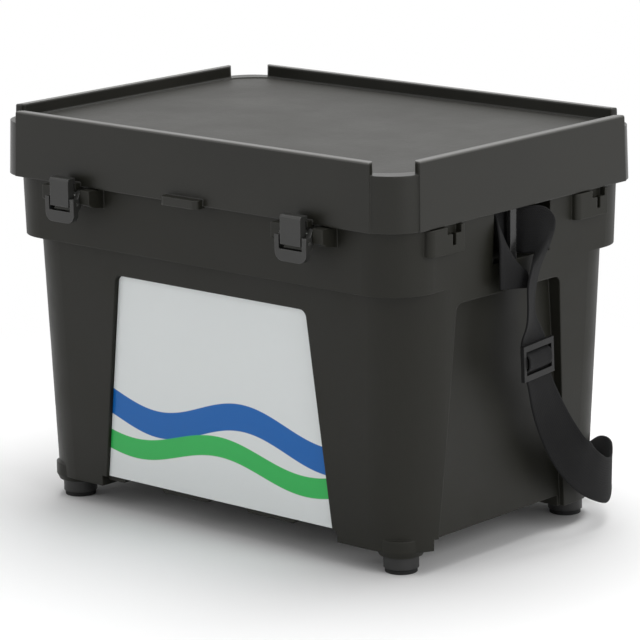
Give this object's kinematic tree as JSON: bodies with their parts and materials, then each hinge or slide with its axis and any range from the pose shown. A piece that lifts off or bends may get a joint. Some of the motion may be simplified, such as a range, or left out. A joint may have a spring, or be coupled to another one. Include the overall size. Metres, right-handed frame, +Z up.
{
  "type": "fishing seat box",
  "caption": "Moulded seat box for anglers: a tub on short feet with a hinged seat lid, draw latches, accessory slots and a shoulder strap.",
  "frame": {"origin": "on the ground under the middle of the box, centred on the bounding box", "axes": "+X along the front towards the right as seen from the front, -Y is the front with the latches, +Z is up"},
  "size_m": [0.507, 0.368, 0.3533],
  "materials": {
    "tub_plastic": "fine grained, charcoal",
    "lid_plastic": "fine grained, charcoal",
    "label": "printed film, satin",
    "foot_plastic": "moulded, satin black",
    "pad_rubber": "matt black",
    "steel": "bright zinc",
    "webbing": "woven, black",
    "slider_plastic": "moulded, satin black",
    "bar_plastic": "hard, satin black",
    "latch_plastic": "moulded, satin black"
  },
  "bodies": {
    "box": {"box_body": "tub_plastic", "front_label": "label", "foot_front_right": "foot_plastic", "foot_front_left": "foot_plastic", "foot_back_right": "foot_plastic", "foot_back_left": "foot_plastic", "foot_pad_front_right": "pad_rubber", "foot_pad_front_left": "pad_rubber", "foot_pad_back_right": "pad_rubber", "foot_pad_back_left": "pad_rubber", "foot_screws": "steel", "strap_bar_right": "bar_plastic", "strap_bar_left": "bar_plastic", "shoulder_strap": "webbing", "strap_slider": "slider_plastic", "lever_pin_right": "steel", "hinge_pin_right": "steel", "lever_pin_left": "steel", "hinge_pin_left": "steel"},
    "lid": {"lid": "lid_plastic"},
    "lever_right": {"latch_lever_right": "latch_plastic", "claw_pin_right": "steel"},
    "claw_right": {"latch_claw_right": "latch_plastic"},
    "lever_left": {"latch_lever_left": "latch_plastic", "claw_pin_left": "steel"},
    "claw_left": {"latch_claw_left": "latch_plastic"}
  },
  "joints": [
    {"name": "lid_hinge", "type": "hinge", "parent": "box", "child": "lid", "pos_m": [0, 0.1775, 0.303], "axis": [-1, 0, 0], "range_deg": [0, 95]},
    {"name": "lever_left_hinge", "type": "hinge", "parent": "box", "child": "lever_left", "pos_m": [-0.132, -0.1735, 0.291], "axis": [-1, 0, 0], "range_deg": [0, 90]},
    {"name": "claw_left_hinge", "type": "hinge", "parent": "lever_left", "child": "claw_left", "pos_m": [-0.132, -0.1795, 0.283], "axis": [-1, 0, 0], "range_deg": [-90, 0]},
    {"name": "lever_right_hinge", "type": "hinge", "parent": "box", "child": "lever_right", "pos_m": [0.132, -0.1735, 0.291], "axis": [-1, 0, 0], "range_deg": [0, 90]},
    {"name": "claw_right_hinge", "type": "hinge", "parent": "lever_right", "child": "claw_right", "pos_m": [0.132, -0.1795, 0.283], "axis": [-1, 0, 0], "range_deg": [-90, 0]}
  ],
  "couplings": [
    {"joint": "claw_left_hinge", "follows": "lever_left_hinge", "ratio": -1},
    {"joint": "claw_right_hinge", "follows": "lever_right_hinge", "ratio": -1}
  ]
}
